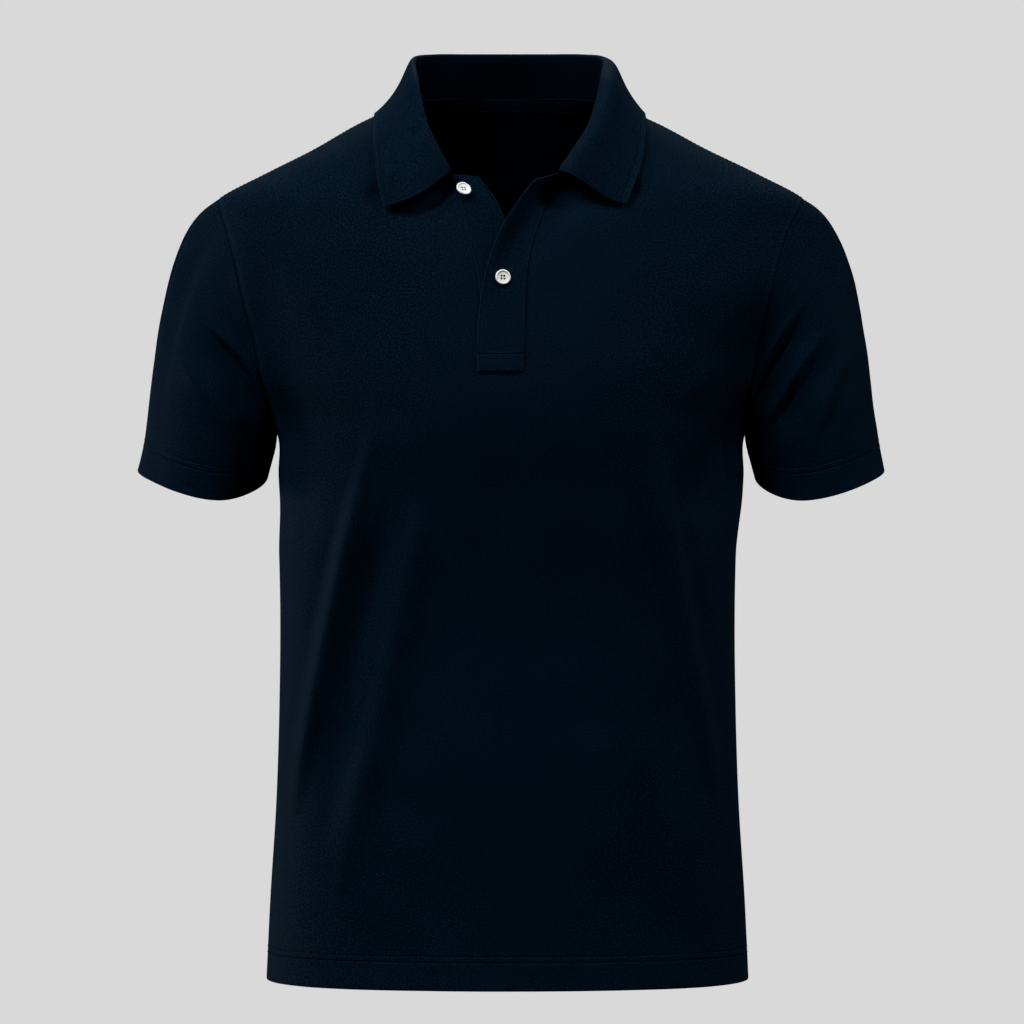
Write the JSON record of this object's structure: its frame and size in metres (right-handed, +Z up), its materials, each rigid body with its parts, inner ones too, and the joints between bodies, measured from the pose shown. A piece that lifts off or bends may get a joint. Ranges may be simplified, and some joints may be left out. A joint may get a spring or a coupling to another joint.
{
  "type": "polo shirt",
  "caption": "Short-sleeved polo shirt, filled out as when worn, with a folded knit collar, a short button placket open at the neck, set-in sleeves and turned hems.",
  "frame": {"origin": "midway between the two high shoulder points, where the shoulder seams meet the collar: the shirt hangs from the wearer's shoulders here", "axes": "+Z up from hem to collar, +X to the wearer's left, the front faces -Y"},
  "size_m": [0.6088, 0.2385, 0.7531],
  "materials": {
    "pique": "navy cotton pique knit, matt with a soft bloom",
    "collar_knit": "navy flat-knit rib, matt",
    "tape": "navy woven tape, matt",
    "button": "white moulded button, satin gloss"
  },
  "bodies": {
    "root": {"front": "pique", "back": "pique", "sleeve_right": "pique", "sleeve_left": "pique", "placket_upper": "pique", "placket_under": "pique", "collar": "collar_knit", "neck_tape": "tape", "button_top": "button", "button_second": "button"}
  },
  "joints": []
}
